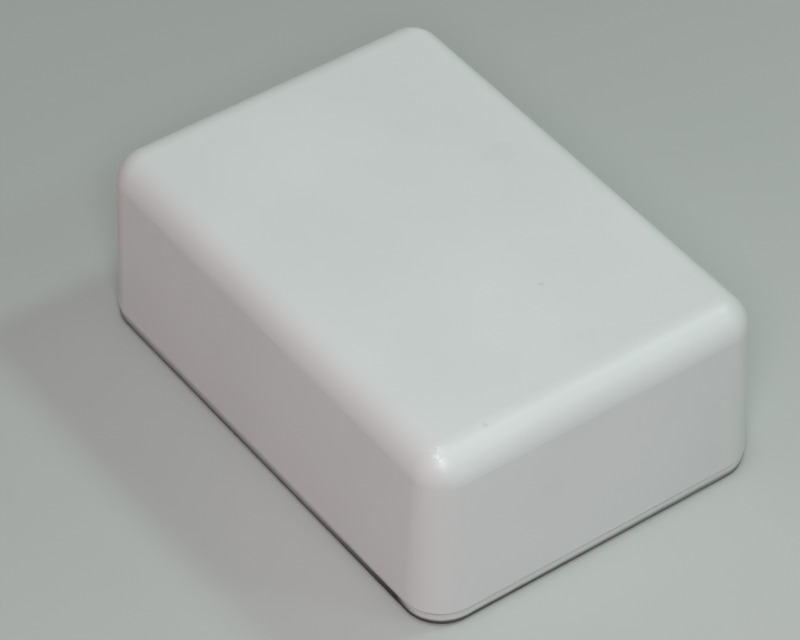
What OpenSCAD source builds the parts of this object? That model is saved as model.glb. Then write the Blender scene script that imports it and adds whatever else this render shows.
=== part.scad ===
// Small moulded project box. A hollow shell with leaning walls and rounded edges stands
// on a thin flat lid, which four countersunk screws hold from underneath.
// +X runs along the box, +Z is up, and the origin is the middle of the lid's underside.

/* [Box] */
// Length over the shell's rim
box_l = 75; // [60:1:110]
// Width over the shell's rim
box_w = 53; // [44:1:80]
// Height from the lid's underside to the top
box_h = 27.5; // [22:0.5:40]
// Corner radius in plan, at the rim
corner_r = 5.6; // [5:0.1:7]
// Radius of the edge round the top
edge_r = 4.5; // [3:0.1:5]

/* [Shell] */
// Thickness of the side walls
wall = 2; // [1.6:0.1:2.4]
// Thickness of the top
top_t = 2; // [1.6:0.1:3]
// Lean of the side walls, in degrees, that frees the moulding from its tool
draft = 2.5; // [0.5:0.25:3]
// Width of the broken edge round the outside of the rim
rim_break = 0.2; // [0.1:0.05:0.4]

/* [Lid] */
// Thickness of the lid's plate
lid_t = 2; // [1.6:0.1:3]
// Step in from the shell's rim to the lid's edge
lid_step = 0.15; // [0.05:0.05:0.5]
// Lean of the lid's edge, in degrees
lid_draft = 3; // [1:0.5:6]
// Width of the broken edge round the lid's underside
foot_break = 0.2; // [0.1:0.05:0.6]
// Height of the shadow gap between the lid's edge and the rim
seam_gap = 0.1; // [0.05:0.05:0.3]
// Depth of the shadow gap
seam_in = 0.8; // [0.4:0.1:1]
// Height of the lip that locates the lid in the shell
lip_h = 1.8; // [1.4:0.1:3]
// Thickness of the lip
lip_t = 1.2; // [0.8:0.1:1.4]
// Clearance between the lip and the shell
lip_gap = 0.15; // [0.1:0.05:0.3]
// Height of the pad that meets each screw boss
pad_h = 1; // [0.6:0.1:1.2]

/* [Screw bosses] */
// Distance of each screw from the two nearest sides of the rim
screw_in = 5; // [4.6:0.1:5.4]
// Diameter of a boss at its mouth
boss_d = 6.4; // [5.8:0.1:7]
// Diameter of the pilot bore in a boss
pilot_d = 2.4; // [2.3:0.05:2.6]
// Depth of the pilot bore past the screw's point
pilot_spare = 1.5; // [0.5:0.5:3]
// Lean of the bosses' and standoffs' sides, in degrees
post_draft = 0.5; // [0.25:0.25:1]

/* [Screws] */
// Length of a screw over its head
screw_l = 9.5; // [8:0.5:13]
// Diameter of the screw's core
core_d = 2.1; // [1.8:0.1:2.2]
// Diameter of the screw's head
head_d = 5.4; // [5:0.1:5.6]
// Height of the straight rim round the head
head_rim = 0.25; // [0.1:0.05:0.4]
// Depth of the head's face inside the lid's underside
head_sink = 0.15; // [0.05:0.05:0.3]
// Clearance round the head in its countersink
head_gap = 0.08; // [0.05:0.01:0.15]
// Diameter of the clearance hole through the lid
hole_d = 3.2; // [3:0.1:3.6]
// Width across the cross recess in the head
recess_d = 2.9; // [2.4:0.1:3.2]
// Depth of the cross recess
recess_h = 1.3; // [1:0.1:1.5]
// Width of one slot of the cross recess
recess_w = 0.7; // [0.5:0.05:0.9]

/* [Board standoffs] */
// Distance of each standoff from the nearest end of the rim
board_in_x = 14; // [12:0.5:18]
// Distance of each standoff from the nearest side of the rim
board_in_y = 11.5; // [10:0.5:14]
// Diameter of a standoff at its mouth
standoff_d = 5; // [4:0.5:6]
// Height of a standoff below the inside of the top
standoff_h = 4; // [2:0.5:6]
// Diameter of the pilot bore in a standoff
standoff_bore_d = 1.8; // [1.5:0.1:2.2]

/* [Hidden] */
$fn = 96;

plastic_colour = [0.93, 0.93, 0.92];
screw_colour = [0.72, 0.73, 0.75];

over = 1;              // how far a cutting shape runs past the face that it cuts
hair = 0.001;          // how far a rounded edge stands proud of the faces that it joins
least_offset = 0.1;    // least distance of a rounded edge's centre from a corner's axis
lip_lead = 0.3;        // lead-in round the top of the lip
bore_lead = 0.3;       // lead-in at the mouth of a pilot bore
point_h = 2;           // length of a screw's point
point_r = 0.2;         // radius that the point narrows to

// The corners of the shell, the cavity, the lid and the lip all turn about these axes.
axis_x = box_l / 2 - corner_r;
axis_y = box_w / 2 - corner_r;

inner_r = corner_r - wall;
lip_r = inner_r - lip_gap;
ceiling = box_h - top_t;
boss_foot = lid_t + pad_h;
standoff_foot = ceiling - standoff_h;
pilot_top = head_sink + screw_l + pilot_spare;
screw_x = box_l / 2 - screw_in;
screw_y = box_w / 2 - screw_in;
board_x = box_l / 2 - board_in_x;
board_y = box_w / 2 - board_in_y;

// Distance from the corner axis, at height z, to a wall that is r from it at the rim
function lean(r, z) = r - (z - lid_t) * tan(draft);

// Largest rounded edge that such a wall can carry below a top at height z
function edge_limit(r, z) =
    (r - least_offset - (z - lid_t) * tan(draft)) / (1 / cos(draft) - tan(draft));

// Centre of an edge of radius e that is tangent to that wall and to the top
function edge_centre(r, z, e) = [lean(r, z - e) - e / cos(draft), z - e];

// Half of a section, with the outline pts, filled in to c inside the corner axis
module half_section(pts, c) {
    polygon(concat([[-c, pts[0][1]]], pts, [[-c, pts[len(pts) - 1][1]]]));
}

// What a rounded edge takes off a square one. It starts a hair outside both faces, so it
// crosses them cleanly.
module edge_waste(centre, e) {
    translate(centre)
        difference() {
            square(2 * e);
            circle(e + hair);
        }
}

module section(pts, c, centre, e) {
    difference() {
        half_section(pts, c);
        if (e > 0)
            edge_waste(centre, e);
    }
}

// Two opposite sides of a moulding, and all that lies between them
module two_sides(length, c, pts, centre, e) {
    rotate([90, 0, 0])
        linear_extrude(2 * length, center = true)
            for (side = [0, 1])
                mirror([side, 0]) translate([c, 0]) section(pts, c + over, centre, e);
}

// A form with round corners in plan: one section swept along the sides and round the corners
module moulding(pts, centre = [0, 0], e = 0) {
    two_sides(axis_y, axis_x, pts, centre, e);
    rotate(90) two_sides(axis_x, axis_y, pts, centre, e);
    for (mx = [0, 1], my = [0, 1])
        mirror([mx, 0, 0]) mirror([0, my, 0])
            translate([axis_x, axis_y, 0])
                rotate_extrude(angle = 90) section(pts, 0, centre, e);
}

// A moulding with leaning walls that are r from the corner axes at the rim, and a top edge
// of radius e at height z
module leaning_box(foot, r, z, e) {
    moulding(concat(foot, [[lean(r, z), z]]), edge_centre(r, z, e), e);
}

module at_four(x, y) {
    for (sx = [-1, 1], sy = [-1, 1])
        translate([sx * x, sy * y, 0]) children();
}

// A post that hangs from the top of the shell and widens upwards, as its tool needs
module post(d, foot) {
    rise = box_h - foot;
    translate([0, 0, foot])
        cylinder(h = rise, d1 = d, d2 = d + 2 * rise * tan(post_draft));
}

// A blind bore with a lead-in at its mouth
module pilot(d, foot, end) {
    translate([0, 0, foot - over]) cylinder(h = end - foot + over, d = d);
    translate([0, 0, foot]) cylinder(h = bore_lead, d1 = d + 2 * bore_lead, d2 = d);
}

module outer_form() {
    brink = lid_t + rim_break;
    leaning_box(
        [[corner_r - rim_break, lid_t], [lean(corner_r, brink), brink]],
        corner_r, box_h, min(edge_r, edge_limit(corner_r, box_h)));
}

module cavity_form() {
    mouth = lid_t - over;
    leaning_box(
        [[lean(inner_r, mouth), mouth]],
        inner_r, ceiling, min(edge_r - wall, edge_limit(inner_r, ceiling)));
}

module shell() {
    color(plastic_colour)
        difference() {
            outer_form();
            difference() {
                cavity_form();
                at_four(screw_x, screw_y) post(boss_d, boss_foot);
                at_four(board_x, board_y) post(standoff_d, standoff_foot);
            }
            at_four(screw_x, screw_y) pilot(pilot_d, boss_foot, pilot_top);
            at_four(board_x, board_y) pilot(standoff_bore_d, standoff_foot, ceiling);
        }
}

// The lid's plate, with a fine step round its top that leaves the shadow gap at the seam
module lid_plate() {
    edge = corner_r - lid_step;
    moulding([
        [edge - lid_t * tan(lid_draft) - foot_break, 0],
        [edge - (lid_t - foot_break) * tan(lid_draft), foot_break],
        [edge, lid_t - seam_gap],
        [edge - seam_in, lid_t - seam_gap],
        [edge - seam_in, lid_t]]);
}

// A block inside the shell's rim, with a lead-in round its top
module lip_block(h) {
    top = lid_t + h;
    moulding([
        [lip_r, lid_t],
        [lean(lip_r, top - lip_lead), top - lip_lead],
        [lean(lip_r, top) - lip_lead, top]]);
}

// The locating lip, which stops short of the screw bosses
module lip() {
    inside = lip_r - lip_t;
    difference() {
        lip_block(lip_h);
        moulding([[inside, lid_t - over], [inside, lid_t + lip_h + over]]);
        at_four(screw_x, screw_y)
            translate([0, 0, boss_foot]) cylinder(h = lip_h + over, d = boss_d + 2 * lip_gap);
    }
}

// A screw's clearance hole, and the countersink that its head sinks into
module screw_hole() {
    seat_r = head_d / 2 + head_gap;
    flank = head_sink + head_rim;
    rotate_extrude()
        polygon([
            [0, -over],
            [seat_r, -over],
            [seat_r, flank],
            [hole_d / 2, flank + seat_r - hole_d / 2],
            [hole_d / 2, boss_foot + over],
            [0, boss_foot + over]]);
}

module lid() {
    color(plastic_colour)
        difference() {
            union() {
                lid_plate();
                lip();
                intersection() {
                    lip_block(pad_h);
                    at_four(screw_x, screw_y) cylinder(h = boss_foot, d = boss_d);
                }
            }
            at_four(screw_x, screw_y) screw_hole();
        }
}

// The tapered cross for the driver, cut up into the head from below
module cross_recess() {
    intersection() {
        translate([0, 0, -over])
            cylinder(h = recess_h + over, d1 = recess_d + over, d2 = recess_w);
        for (turn = [0, 90])
            rotate(turn)
                cube([2 * recess_d, recess_w, 2 * recess_h + over], center = true);
    }
}

module screw(sx, sy) {
    head_r = head_d / 2;
    core_r = core_d / 2;
    color(screw_colour)
        translate([sx * screw_x, sy * screw_y, head_sink])
            difference() {
                rotate_extrude()
                    polygon([
                        [0, 0],
                        [head_r, 0],
                        [head_r, head_rim],
                        [core_r, head_rim + head_r - core_r],
                        [core_r, screw_l - point_h],
                        [point_r, screw_l],
                        [0, screw_l]]);
                cross_recess();
            }
}

shell();
lid();
screw(-1, -1);  // screw_1
screw(1, -1);  // screw_2
screw(1, 1);  // screw_3
screw(-1, 1);  // screw_4
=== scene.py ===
# %% [markdown]
# # A small plastic project box
#
# A project box holds a home-made or short-run circuit. This one is a hollow white
# shell, moulded in one piece and closed from below by a thin lid with four screws.
# The solids come ready made from the CAD model, in metres, already in place. The work
# here is what the solids can't carry: the skin of the moulding, its dirt and the shade
# and glint painted into it, the metal of the screws, the table and the light.

# %% Load the imported model
import math

import bpy
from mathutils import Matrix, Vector


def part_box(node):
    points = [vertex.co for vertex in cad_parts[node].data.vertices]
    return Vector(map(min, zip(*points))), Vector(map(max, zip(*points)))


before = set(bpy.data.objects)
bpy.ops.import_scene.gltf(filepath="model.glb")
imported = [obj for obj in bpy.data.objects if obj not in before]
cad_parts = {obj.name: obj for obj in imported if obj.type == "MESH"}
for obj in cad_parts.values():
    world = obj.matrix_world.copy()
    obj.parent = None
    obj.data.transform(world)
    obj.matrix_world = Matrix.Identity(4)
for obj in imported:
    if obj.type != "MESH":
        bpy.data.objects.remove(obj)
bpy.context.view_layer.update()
MM = 0.001
print("nodes:", ", ".join(sorted(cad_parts)))

# %% [markdown]
# ## The viewpoint
#
# A box like this is easiest to read from above one corner, where the top, a long side
# and a short side all show. A long lens from half a metre away keeps the three sets of
# edges almost parallel, as a close-up with a real camera does. The camera could be
# placed by hand, but two angles and a distance say the same thing and can be checked.

# %% Camera
AZIMUTH = math.radians(53.60)
ELEVATION = math.radians(44.40)
DISTANCE = 496.3 * MM
# lens and sensor in millimetres, as cameras state them
LENS = 168.9
SENSOR = 36
AIM_RIGHT = -3.40 * MM
AIM_UP = 7.83 * MM
NEAREST = 1 * MM
FARTHEST = 50

towards_eye = Vector((math.cos(ELEVATION) * math.sin(AZIMUTH),
                      -math.cos(ELEVATION) * math.cos(AZIMUTH),
                      math.sin(ELEVATION)))
eye_right = Vector((math.cos(AZIMUTH), math.sin(AZIMUTH), 0))
eye_up = towards_eye.cross(eye_right)

eye = bpy.data.objects.new("eye", bpy.data.cameras.new("eye"))
bpy.context.scene.collection.objects.link(eye)
eye.data.sensor_width = SENSOR
eye.data.lens = LENS
eye.data.clip_start = NEAREST
eye.data.clip_end = FARTHEST
eye.location = towards_eye * DISTANCE
aim = eye_right * AIM_RIGHT + eye_up * AIM_UP
eye.rotation_euler = (aim - eye.location).to_track_quat("-Z", "Y").to_euler()
bpy.context.scene.camera = eye
print("eye at", [round(c, 3) for c in eye.location])

# %% [markdown]
# ## Small tools for finishes
#
# Each finish is a graph of nodes: textures that vary over the surface, feeding one
# shader. A few helpers keep the graphs readable. Every texture is laid out in the
# object's own coordinates, so it stays on the plastic when the box or the eye moves.

# %% Node helpers
# noise runs from 0 to 1 but rarely leaves this range
NOISE_RANGE = (0.3, 0.7)


def new_finish(name):
    """A material, its node tree and its shader."""
    finish = bpy.data.materials.new(name)
    finish.use_nodes = True
    return finish, finish.node_tree, finish.node_tree.nodes["Principled BSDF"]


def add(tree, kind, inputs=(), **settings):
    """A node with its inputs linked, where they are sockets, or set, where they are values."""
    made = tree.nodes.new(kind)
    for name, value in settings.items():
        setattr(made, name, value)
    for name, value in dict(inputs).items():
        if isinstance(value, bpy.types.NodeSocket):
            tree.links.new(value, made.inputs[name])
        else:
            made.inputs[name].default_value = value
    return made


def cloud(tree, place, size, detail):
    """Soft noise whose blobs are about size across, mostly within NOISE_RANGE."""
    return add(tree, "ShaderNodeTexNoise",
               {"Vector": place, "Scale": 1 / size, "Detail": detail}).outputs["Fac"]


def span(tree, value, low, high, out_low, out_high):
    """Stretches value from the range low..high to out_low..out_high."""
    return add(tree, "ShaderNodeMapRange",
               {"Value": value, "From Min": low, "From Max": high,
                "To Min": out_low, "To Max": out_high}).outputs["Result"]


def patchy(tree, place, size, detail, out_low, out_high):
    """Noise that wanders between out_low and out_high."""
    return span(tree, cloud(tree, place, size, detail), *NOISE_RANGE, out_low, out_high)


def blend_colour(tree, share, first, second):
    """first where share is 0, second where it is 1, for colours."""
    made = add(tree, "ShaderNodeMix", data_type="RGBA")
    for socket, value in zip((made.inputs["Factor"], made.inputs[6], made.inputs[7]),
                             (share, first, second)):
        if isinstance(value, bpy.types.NodeSocket):
            tree.links.new(value, socket)
        else:
            socket.default_value = value
    return made.outputs[2]


def blend_value(tree, share, first, second):
    """The same for plain values, such as masks."""
    return add(tree, "ShaderNodeMix", {0: share, 2: first, 3: second}).outputs[0]


def multiply(tree, first, second):
    return add(tree, "ShaderNodeMath", {0: first, 1: second}, operation="MULTIPLY").outputs[0]


def largest(tree, first, second):
    return add(tree, "ShaderNodeMath", {0: first, 1: second}, operation="MAXIMUM").outputs[0]

# %% [markdown]
# ## Marks on the moulding
#
# No moulding that has been handled is spotless. Three tiny dark specks sit on this
# one, with a faint smudge on the top, and a painted highlight, a bright glint, is drawn
# into the colour of the near top corner. These marks could be drawn on an image, but a
# mark that is a distance from a point, with its rim broken up by noise, needs no image
# and has no edge that a close look finds. The marks are faint on purpose: dirt that is
# too dark looks like a hole.

# %% Spot mask
# shares of a spot's radius: the blobs that fray its rim, and the part that is solid
BLOB_SHARE = 0.8
SOLID_SHARE = 0.6


def spot(tree, place, centre, radius, raggedness):
    """1 inside a small ragged spot at centre, 0 outside it."""
    distance = add(tree, "ShaderNodeVectorMath", {0: place, 1: centre},
                   operation="DISTANCE").outputs["Value"]
    reach = radius * raggedness
    ragged = patchy(tree, place, radius * BLOB_SHARE, 3, -reach, reach)
    shaken = add(tree, "ShaderNodeMath", {0: distance, 1: ragged}).outputs[0]
    return span(tree, shaken, radius * SOLID_SHARE, radius, 1.0, 0.0)


shell_low, shell_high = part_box("shell")
top = shell_high.z
right_end = shell_high.x
front_side = shell_low.y
# each speck's place, radius and strength
SPECKS = [
    (Vector((right_end - 20.2 * MM, 5.1 * MM, top)), 0.34 * MM, 0.15),
    (Vector((right_end - 4.4 * MM, front_side + 11.1 * MM, top - 0.1 * MM)), 0.36 * MM, 0.15),
    (Vector((right_end - 17.3 * MM, front_side + 2.8 * MM, top - 0.9 * MM)), 0.30 * MM, 0.04),
]
SPECK_RAGGED = 0.5
SMUDGE = Vector((-5.2 * MM, 16.5 * MM, top))
SMUDGE_RADIUS = 2.2 * MM
SMUDGE_RAGGED = 0.9
SMUDGE_STRENGTH = 0.16
# painted highlight: a small bright glint on the near top corner, broken into flecks, drawn in the colour
GLINT_SPOT = Vector((right_end - 4.0 * MM, front_side + 3.7 * MM, top - 0.6 * MM))
GLINT_RADIUS = 0.9 * MM
GLINT_RAGGED = 1.0
GLINT_FLECK = 0.55 * MM
GLINT_STRENGTH = 0.9
print("specks:", len(SPECKS), "on a top", round(top / MM, 1), "mm up")

# %% [markdown]
# ## White moulded plastic
#
# The shell and the lid are injection moulded, from plastic coloured all through. The
# steel tool is finished by spark erosion and leaves a fine, even grain on the skin, so
# the surface is satin: it shows a soft bright band along a round edge and no mirror
# image. The grain is a bump a hundredth of a millimetre deep or less. A slow waviness
# stands for the way that thick plastic shrinks as it cools, and a slower clouding of
# colour and gloss for the flow of the melt. Painting the gloss flat would look like
# paper, so the roughness varies too.

# %% Plastic
PLASTIC_PALE = (0.745, 0.745, 0.74, 1)
PLASTIC_DEEP = (0.715, 0.717, 0.712, 1)
SPECK_DARK = (0.12, 0.115, 0.11, 1)
HAZE = (0.60, 0.60, 0.59, 1)
# the colour of the painted glint on the near top corner
PAINTED_GLINT = (0.93, 0.94, 0.94, 1)
GRAIN = 0.28 * MM
GRAIN_DEPTH = 0.02 * MM
GRAIN_STRENGTH = 0.25
WAVE = 14 * MM
WAVE_DEPTH = 0.12 * MM
WAVE_STRENGTH = 0.35
FLOW = 22 * MM
SHEEN_PATCH = 6 * MM
ROUGHNESS = (0.35, 0.43)
PLASTIC_IOR = 1.5


def plastic_skin(name):
    """The moulded skin without its base colour and roughness, which marks may change."""
    finish, tree, shader = new_finish(name)
    place = add(tree, "ShaderNodeTexCoord").outputs["Object"]
    flow = span(tree, cloud(tree, place, FLOW, 3), 0.35, 0.65, 0.0, 1.0)
    colour = blend_colour(tree, flow, PLASTIC_DEEP, PLASTIC_PALE)
    gloss = patchy(tree, place, SHEEN_PATCH, 4, *ROUGHNESS)

    wave = add(tree, "ShaderNodeBump",
               {"Height": cloud(tree, place, WAVE, 1), "Strength": WAVE_STRENGTH,
                "Distance": WAVE_DEPTH}).outputs["Normal"]
    grain = add(tree, "ShaderNodeBump",
                {"Height": cloud(tree, place, GRAIN, 2), "Strength": GRAIN_STRENGTH,
                 "Distance": GRAIN_DEPTH, "Normal": wave}).outputs["Normal"]
    tree.links.new(grain, shader.inputs["Normal"])
    shader.inputs["IOR"].default_value = PLASTIC_IOR
    return finish, tree, shader, place, colour, gloss


shell_finish, tree, shader, place, colour, gloss = plastic_skin("white_shell_plastic")
specks = [multiply(tree, spot(tree, place, centre, radius, SPECK_RAGGED), strength)
          for centre, radius, strength in SPECKS]
speck_mask = largest(tree, largest(tree, specks[0], specks[1]), specks[2])
smudge = multiply(tree, spot(tree, place, SMUDGE, SMUDGE_RADIUS, SMUDGE_RAGGED),
                  SMUDGE_STRENGTH)
# the painted highlight: bright flecks of glint in the colour of the near top corner
glint_flecks = span(tree, cloud(tree, place, GLINT_FLECK, 2), 0.50, 0.60, 0.0, GLINT_STRENGTH)
painted_glint = multiply(tree, spot(tree, place, GLINT_SPOT, GLINT_RADIUS, GLINT_RAGGED), glint_flecks)
colour = blend_colour(tree, smudge, colour, HAZE)
colour = blend_colour(tree, speck_mask, colour, SPECK_DARK)
colour = blend_colour(tree, painted_glint, colour, PAINTED_GLINT)
tree.links.new(colour, shader.inputs["Base Color"])
tree.links.new(gloss, shader.inputs["Roughness"])
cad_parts["shell"].data.materials.clear()
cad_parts["shell"].data.materials.append(shell_finish)
print("shell nodes:", len(tree.nodes))

# %% [markdown]
# ## A dark line and painted shade along the foot
#
# The thin strip of the lid's edge is all that shows of it below the shell, and its foot
# carries a dark line. Round the corners and along the short sides and the back the line
# is thin, and it softens towards the back. On the front the dark reaches further up the
# edge as painted shade on the lid's strip, and grows into a thick black streak of painted
# shade before the right corner. A sliver of dark geometry could stand for it, but a
# painted line has no thickness, so this makes a mask from the place on the lid.

# %% Foot lines
# each line is solid up to the first height and ends at the second
CRISP_LINE = (0.60 * MM, 1.00 * MM)
SOFT_LINE = (0.45 * MM, 1.30 * MM)
# painted shade: on the front the dark reaches up the lid's strip below the shell, and its thick streak
# near the right corner is painted shade too
STRIP_SHADE_LINE = (0.45 * MM, 1.95 * MM)
SHADE_STREAK_LINE = (1.35 * MM, 1.60 * MM)
# how much of the plastic the side line and the front's painted shade cover: front corner to back, and
# left end to middle
SIDE_COVER = (0.93, 0.82)
STRIP_SHADE_COVER = (0.80, 0.90)
# along the front, from the middle of the box, the streak of painted shade grows and ends between these
STREAK_GROWS = (10 * MM, 29 * MM)
STREAK_ENDS = (30 * MM, 34 * MM)
# the front's painted shade gives way to the sides' line between these distances in from the front
FRONT_BAND = (0.6 * MM, 1.6 * MM)
FOOT_LINE_BLOB = 2.5 * MM
FOOT_LINE_WAVER = 0.05 * MM
lid_low, lid_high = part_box("lid")


def foot_line_and_shade(tree, place, across, deep, height):
    """1 where the dark line at the lid's foot, and the painted shade on the front, is solid; 0 where the
    lid keeps its colour.
    """
    waver = patchy(tree, place, FOOT_LINE_BLOB, 3, -FOOT_LINE_WAVER, FOOT_LINE_WAVER)
    uneven = add(tree, "ShaderNodeMath", {0: height, 1: waver}).outputs[0]
    crisp, soft, strip_shaded, streak_shaded = [
        span(tree, uneven, solid, end, 1.0, 0.0)
        for solid, end in (CRISP_LINE, SOFT_LINE, STRIP_SHADE_LINE, SHADE_STREAK_LINE)]

    backwards = span(tree, deep, lid_low.y, lid_high.y / 2, 0.0, 1.0)
    side_line = multiply(tree, blend_value(tree, backwards, crisp, soft),
                         span(tree, backwards, 0.0, 1.0, *SIDE_COVER))
    # painted shade on the front's strip, growing into a streak of painted shade
    strip_shade = multiply(tree, strip_shaded,
                     span(tree, across, lid_low.x, STREAK_GROWS[0], *STRIP_SHADE_COVER))
    grown = span(tree, across, *STREAK_GROWS, 0.0, 1.0)
    ended = span(tree, across, *STREAK_ENDS, 0.0, 1.0)
    shade_streak = blend_value(tree, grown, strip_shade, streak_shaded)
    front_line = blend_value(tree, ended, shade_streak, side_line)
    front = span(tree, deep, lid_low.y + FRONT_BAND[0], lid_low.y + FRONT_BAND[1], 1.0, 0.0)
    return blend_value(tree, front, side_line, front_line)


print("smear up to", round(STRIP_SHADE_LINE[1] / MM, 2), "mm, lid", round(2 * lid_high.x / MM, 1), "mm long")

# %% [markdown]
# ## The lid
#
# The lid is moulded from the shell's plastic, so it starts from the same skin. Painted
# shade darkens its strip just below the seam above its edge, most of it near the front
# corner, and the flat underside keeps only a faint share of the dark at the foot. The
# shine drops where the dark lies: a glossy black line would look like wet paint.

# %% Lid finish
SEAM_GAP = 0.1 * MM
# painted shade under the seam: it reaches this far below the seam, covers this much at
# the front corner, and keeps this share of it from the middle of the box backwards
SEAM_SHADE_REACH = 0.6 * MM
SEAM_COVER = 0.12
SEAM_BACK = 0.2
# below this height the lid is only its flat underside, which keeps this share of the dark line and
# painted shade
UNDERSIDE = 0.05 * MM
UNDERSIDE_SHARE = 0.08
DARK_AND_SHADE = (0.040, 0.036, 0.030, 1)
# the shader's specular level on clean plastic and under the dark line and painted shade
PLASTIC_SHINE = 0.5
DARK_AND_SHADE_SHINE = 0.1

lid_finish, tree, shader, place, colour, gloss = plastic_skin("white_lid_plastic")
apart = add(tree, "ShaderNodeSeparateXYZ", {0: place})
across, deep, height = apart.outputs["X"], apart.outputs["Y"], apart.outputs["Z"]
seam = shell_low.z - SEAM_GAP
# painted shade: darker on the lid's strip just below the seam, most of it at the front
seam_shade = multiply(tree, span(tree, height, seam - SEAM_SHADE_REACH, seam, 0.0, SEAM_COVER),
                     span(tree, deep, lid_low.y, 0.0, 1.0, SEAM_BACK))
# the dark line at the foot and the painted shade, joined into one mask
dark_and_shade = largest(tree, foot_line_and_shade(tree, place, across, deep, height), seam_shade)
darkening = multiply(tree, dark_and_shade, span(tree, height, 0.0, UNDERSIDE, UNDERSIDE_SHARE, 1.0))
shine = span(tree, darkening, 0.0, 1.0, PLASTIC_SHINE, DARK_AND_SHADE_SHINE)
tree.links.new(blend_colour(tree, darkening, colour, DARK_AND_SHADE), shader.inputs["Base Color"])
tree.links.new(gloss, shader.inputs["Roughness"])
tree.links.new(shine, shader.inputs["Specular IOR Level"])
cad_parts["lid"].data.materials.clear()
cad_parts["lid"].data.materials.append(lid_finish)
print("lid nodes:", len(tree.nodes))

# %% [markdown]
# ## Plated screws
#
# Four countersunk screws with a cross recess hold the lid. They are steel wire, headed
# cold and plated, so they are bright but not mirrors, with fine rings where the head
# was pressed and slightly duller, warmer patches in the plating. All four screws are at
# the same distance from the middle of the box, so folding the coordinates to one
# quarter lets a single finish draw rings round every one of them.

# %% Screw finish
screw_low, screw_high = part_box("screw_3")
screw_middle = (screw_low + screw_high) / 2
PLATING_BRIGHT = (0.70, 0.71, 0.73, 1)
PLATING_DULL = (0.56, 0.555, 0.545, 1)
RING = 0.11 * MM
RING_DEPTH = 0.01 * MM
RING_STRENGTH = 0.2
PLATING_PATCH = 1.5 * MM
PLATING_ROUGHNESS = (0.24, 0.38)
FLATTEN = (1, 1, 0)

screw_finish, tree, shader = new_finish("plated_screw_steel")
place = add(tree, "ShaderNodeTexCoord").outputs["Object"]
folded = add(tree, "ShaderNodeVectorMath", {0: place}, operation="ABSOLUTE").outputs["Vector"]
axis_point = (screw_middle.x, screw_middle.y, 0)
from_axis = add(tree, "ShaderNodeVectorMath", {0: folded, 1: axis_point},
                operation="SUBTRACT").outputs["Vector"]
flat = add(tree, "ShaderNodeVectorMath", {0: from_axis, 1: FLATTEN},
           operation="MULTIPLY").outputs["Vector"]
radius = add(tree, "ShaderNodeVectorMath", {0: flat}, operation="LENGTH").outputs["Value"]
rings = add(tree, "ShaderNodeMath",
            {0: multiply(tree, radius, 2 * math.pi / RING)}, operation="SINE").outputs[0]
patches = span(tree, cloud(tree, place, PLATING_PATCH, 4), 0.35, 0.65, 0.0, 1.0)
tree.links.new(blend_colour(tree, patches, PLATING_BRIGHT, PLATING_DULL),
               shader.inputs["Base Color"])
tree.links.new(span(tree, patches, 0.0, 1.0, *PLATING_ROUGHNESS), shader.inputs["Roughness"])
pressed = add(tree, "ShaderNodeBump",
              {"Height": rings, "Strength": RING_STRENGTH,
               "Distance": RING_DEPTH}).outputs["Normal"]
tree.links.new(pressed, shader.inputs["Normal"])
shader.inputs["Metallic"].default_value = 1.0
for number in range(1, 5):
    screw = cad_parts[f"screw_{number}"]
    screw.data.materials.clear()
    screw.data.materials.append(screw_finish)
print("screw rings every", round(RING / MM, 2), "mm")

# %% [markdown]
# ## The table
#
# The box stands on a plain painted table top, pale grey with a little green in it. It
# only has to be a quiet, matt, slightly cloudy surface that takes the box's shadow. It
# is one big flat face, a hair below the lid so that the two never fight. Its colour
# carries painted light: a slow change of tone, dim away from the eye and lit towards
# the eye and the right, stands for the way the light falls off across it.

# %% Table
TABLE_DIM = (0.456, 0.465, 0.449, 1)
TABLE_LIT = (0.541, 0.541, 0.528, 1)
TABLE_DROP = 0.03 * MM
HALF_TABLE = 3.0
TONE_REACH = 70 * MM
# makes the sum of two square arrows of length 1 about as long as one of them
DIAGONAL = 0.7
MOTTLE = 30 * MM
MOTTLE_DEPTH = 0.03
PAINT_PATCH = 8 * MM
PAINT_ROUGHNESS = (0.55, 0.65)

table_mesh = bpy.data.meshes.new("table")
corners = [(x, y, -TABLE_DROP) for x, y in ((-1, -1), (1, -1), (1, 1), (-1, 1))]
table_mesh.from_pydata([(x * HALF_TABLE, y * HALF_TABLE, z) for x, y, z in corners],
                       [], [(0, 1, 2, 3)])
table = bpy.data.objects.new("table", table_mesh)
bpy.context.scene.collection.objects.link(table)

table_finish, tree, shader = new_finish("table_paint")
place = add(tree, "ShaderNodeTexCoord").outputs["Object"]
flat_towards_eye = Vector((towards_eye.x, towards_eye.y, 0)).normalized()
towards_light = (flat_towards_eye + eye_right) * DIAGONAL
# painted light: the table's colour runs from dim away from the eye and the right to lit towards them
along = add(tree, "ShaderNodeVectorMath", {0: place, 1: towards_light},
            operation="DOT_PRODUCT").outputs["Value"]
tone = span(tree, along, -TONE_REACH, TONE_REACH, 0.0, 1.0)
mottle = patchy(tree, place, MOTTLE, 3, -MOTTLE_DEPTH, MOTTLE_DEPTH)
mottled = add(tree, "ShaderNodeMath", {0: tone, 1: mottle}).outputs[0]
tree.links.new(blend_colour(tree, mottled, TABLE_DIM, TABLE_LIT), shader.inputs["Base Color"])
tree.links.new(patchy(tree, place, PAINT_PATCH, 3, *PAINT_ROUGHNESS), shader.inputs["Roughness"])
table_mesh.materials.append(table_finish)
print("table", 2 * HALF_TABLE, "m across")

# %% [markdown]
# ## The light
#
# The box is lit as on a desk in a room. A soft lamp close to the near corner gives most
# of the light and fades across the top. One overhead fills the flat faces, and its
# small disk keeps the shade at the foot narrow. Two small lamps behind draw the bright
# bands on the round edges and throw the shadows to the left. A warm one tints the long
# side, a wide low one lifts the two sides that face away, and an even sky does the rest.
# The background seen by the eye, by reflections and through clear parts is set apart
# from the light that the sky gives, so it can be pale without lighting the box more.

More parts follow.
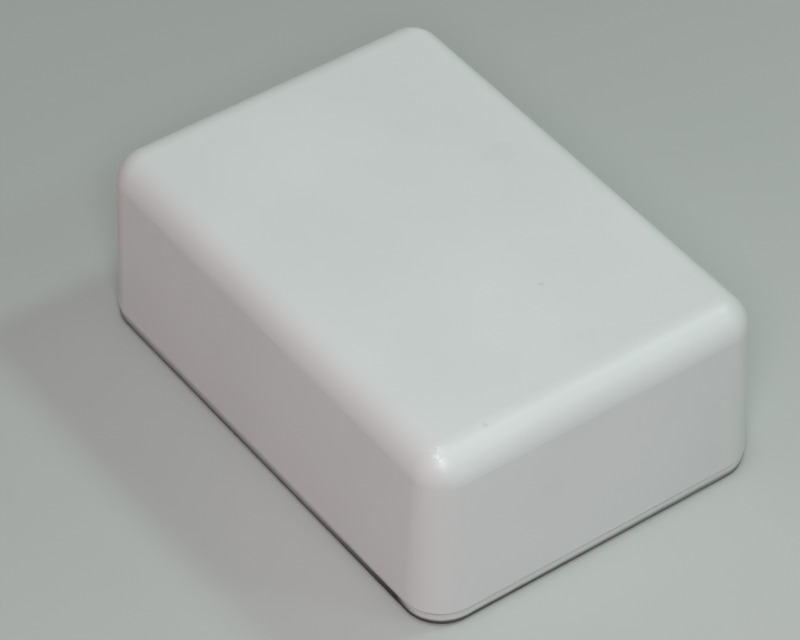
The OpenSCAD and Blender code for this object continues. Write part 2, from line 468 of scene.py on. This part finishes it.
# %% Lamps
def soft_lamp(name, direction, distance, size, power, colour):
    """A disk that faces the middle of the box: distance and size in metres, power in watts."""
    lamp = bpy.data.objects.new(name, bpy.data.lights.new(name, "AREA"))
    lamp.data.shape = "DISK"
    lamp.data.size = size
    lamp.data.energy = power
    lamp.data.color = colour
    bpy.context.scene.collection.objects.link(lamp)
    lamp.location = Vector(direction).normalized() * distance
    lamp.rotation_euler = (-lamp.location).to_track_quat("-Z", "Y").to_euler()


SKY_LIGHT = (0.175, 0.17, 0.17, 1)
BACKDROP = (0.36, 0.375, 0.36, 1)
soft_lamp("front_lamp", (0.55, -0.40, 0.73), 0.45, 0.15, 0.77, (0.95, 0.90, 0.935))
soft_lamp("warm_lamp", (-0.15, -0.95, 0.35), 1.2, 0.60, 0.52, (1.0, 0.2, 0.16))
soft_lamp("top_lamp", (0.02, -0.06, 1.0), 1.2, 0.22, 2.50, (0.87, 1.0, 1.0))
soft_lamp("back_lamp", (0.20, 0.69, 1.0), 0.9, 0.15, 1.30, (0.715, 1.0, 0.836))
soft_lamp("low_lamp", (-0.6, 0.75, 0.18), 1.1, 0.80, 0.8, (1.0, 0.93, 0.95))
soft_lamp("side_lamp", (0.87, 0.69, 1.0), 0.9, 0.11, 0.51, (0.62, 1.0, 0.906))

world = bpy.data.worlds.new("room")
bpy.context.scene.world = world
world.use_nodes = True
tree = world.node_tree
lit = tree.nodes["Background"]
lit.inputs["Color"].default_value = SKY_LIGHT
lit.inputs["Strength"].default_value = 1.0
seen = add(tree, "ShaderNodeBackground", {"Color": BACKDROP, "Strength": 1.0})
path = add(tree, "ShaderNodeLightPath")
looked_at = largest(tree, path.outputs["Is Camera Ray"],
                    largest(tree, path.outputs["Is Glossy Ray"],
                            path.outputs["Is Transmission Ray"]))
either = add(tree, "ShaderNodeMixShader",
             {0: looked_at, 1: lit.outputs[0], 2: seen.outputs[0]})
tree.links.new(either.outputs[0], tree.nodes["World Output"].inputs["Surface"])
bpy.context.scene.view_settings.view_transform = "Standard"
